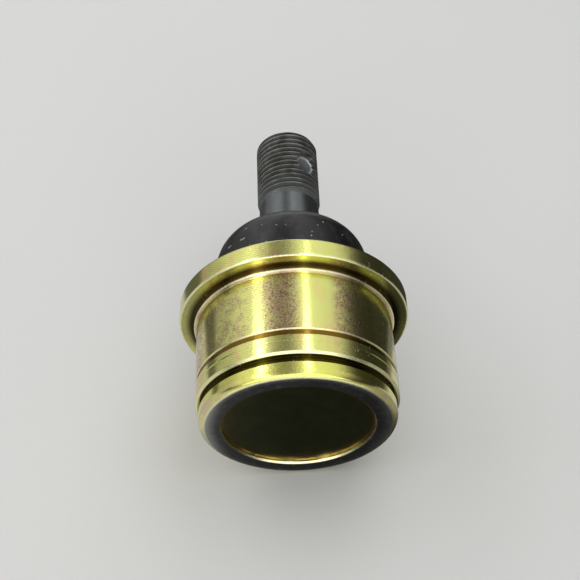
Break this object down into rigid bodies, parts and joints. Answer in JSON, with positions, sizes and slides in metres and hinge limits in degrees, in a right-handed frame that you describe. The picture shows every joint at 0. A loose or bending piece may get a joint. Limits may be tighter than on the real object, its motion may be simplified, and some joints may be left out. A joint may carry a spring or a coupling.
{
  "type": "suspension ball joint",
  "caption": "Press-in suspension ball joint: flanged steel housing with a rolled-in cover plate, and a tapered, threaded ball stud that swings and turns under a rubber boot.",
  "frame": {"origin": "centre of the ball, which lies on the axis inside the press-fit seat of the housing", "axes": "+Z along the stud, from the rolled rim towards the thread; the cross hole runs along Y"},
  "size_m": [0.054, 0.054, 0.0845],
  "materials": {
    "housing_zinc": "yellow chromated zinc, finely turned",
    "cover_zinc": "dark olive chromated zinc, smooth",
    "bearing_plastic": "moulded acetal",
    "spring_steel": "oiled spring steel",
    "stud_phosphate": "black phosphate, satin",
    "boot_rubber": "satin black rubber",
    "ring_wire": "bright spring wire"
  },
  "bodies": {
    "housing": {"housing": "housing_zinc", "cover_plate": "cover_zinc", "upper_bearing": "bearing_plastic", "lower_bearing": "bearing_plastic", "disc_spring": "spring_steel"},
    "boot": {"dust_boot": "boot_rubber", "boot_base_ring": "ring_wire"},
    "swing_ring": {"boot_neck_ring": "ring_wire"},
    "stud": {"ball_stud": "stud_phosphate"}
  },
  "joints": [
    {"name": "swing_direction", "type": "hinge", "parent": "housing", "child": "boot", "pos_m": [0, 0, 0], "axis": [0, 0, 1], "continuous": true},
    {"name": "stud_swing", "type": "hinge", "parent": "boot", "child": "swing_ring", "pos_m": [0, 0, 0], "axis": [1, 0, 0], "range_deg": [-24, 24], "deforming": ["dust_boot"]},
    {"name": "stud_spin", "type": "hinge", "parent": "swing_ring", "child": "stud", "pos_m": [0, 0, 0], "axis": [0, 0, 1], "continuous": true}
  ]
}
